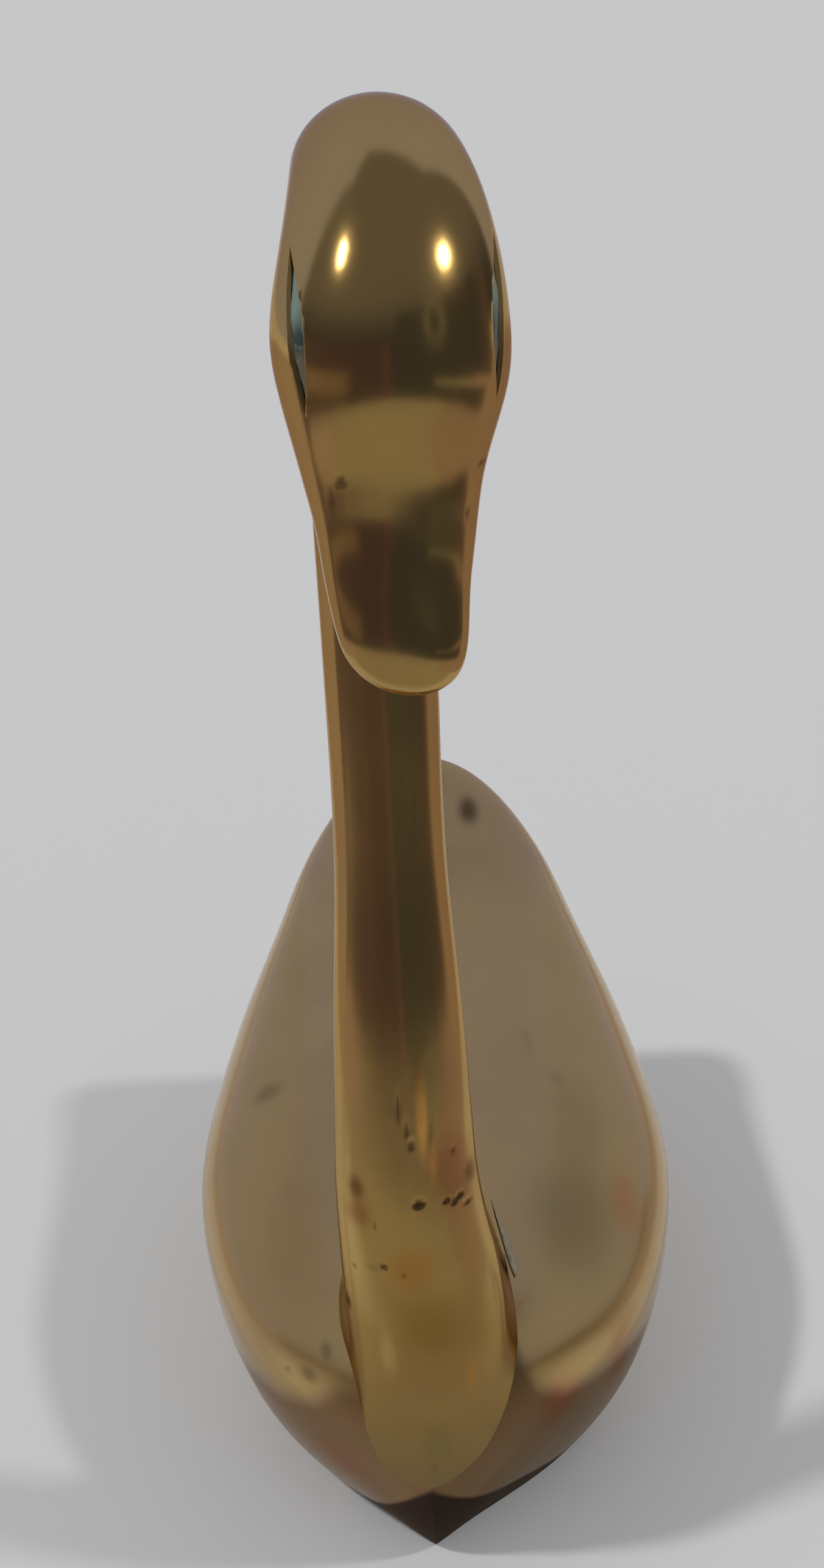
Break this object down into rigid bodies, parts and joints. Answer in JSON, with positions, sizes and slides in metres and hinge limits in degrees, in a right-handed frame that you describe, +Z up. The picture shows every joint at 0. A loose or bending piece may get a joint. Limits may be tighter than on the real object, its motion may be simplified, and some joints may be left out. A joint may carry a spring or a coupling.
{
  "type": "swan figurine",
  "caption": "Standing swan ornament in polished cast brass with a tall neck, bowed head, almond shell eyes and a hollow body on a flat rim.",
  "frame": {"origin": "middle of the bounding box, on the ground plane that the rim of the body rests on", "axes": "+Z up, -Y the way the breast and bill face, +X to the swan's left"},
  "size_m": [0.0466, 0.0798, 0.1227],
  "materials": {
    "body_brass": "polished, slightly tarnished",
    "neck_brass": "polished, with small casting pits",
    "setting_compound": "dark resin",
    "eye_shell": "polished blue-green shell",
    "solder": "dull grey solder"
  },
  "bodies": {
    "root": {"body_shell": "body_brass", "neck_and_head": "neck_brass", "eye_setting_left": "setting_compound", "eye_setting_right": "setting_compound", "eye_inlay_left": "eye_shell", "eye_inlay_right": "eye_shell", "solder_ring": "solder"}
  },
  "joints": []
}
